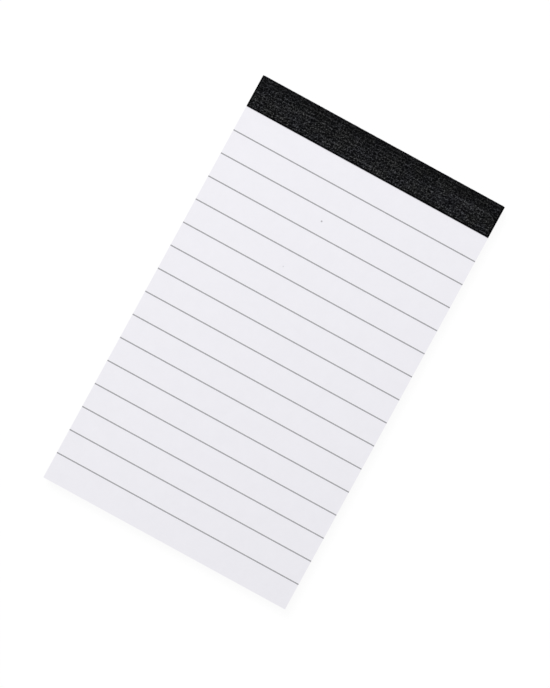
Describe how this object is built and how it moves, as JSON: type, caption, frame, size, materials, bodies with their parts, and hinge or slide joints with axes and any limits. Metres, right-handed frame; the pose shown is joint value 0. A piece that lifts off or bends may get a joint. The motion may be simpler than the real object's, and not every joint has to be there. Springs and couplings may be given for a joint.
{
  "type": "memo pad",
  "caption": "Small ruled memo pad: white sheets on a grey backing board, wire stitched along the head under a folded black binding tape with an embossed grain.",
  "frame": {"origin": "middle of the pad seen from above, level with the underside of the binding tape, which is the lowest face as the pad lies", "axes": "+X across the pad to the right of someone who reads it, +Y up the page to the taped head, +Z out of the writing face"},
  "size_m": [0.0762, 0.127, 0.0056],
  "materials": {
    "sheet_paper": "matte",
    "rule_ink": "matte",
    "board_pulp": "matte",
    "tape_cloth": "satin",
    "stitch_wire": "satin"
  },
  "bodies": {
    "root": {"sheet_block": "sheet_paper", "rule_lines": "rule_ink", "backing_board": "board_pulp", "binding_tape": "tape_cloth", "staple_left": "stitch_wire", "staple_right": "stitch_wire"}
  },
  "joints": []
}
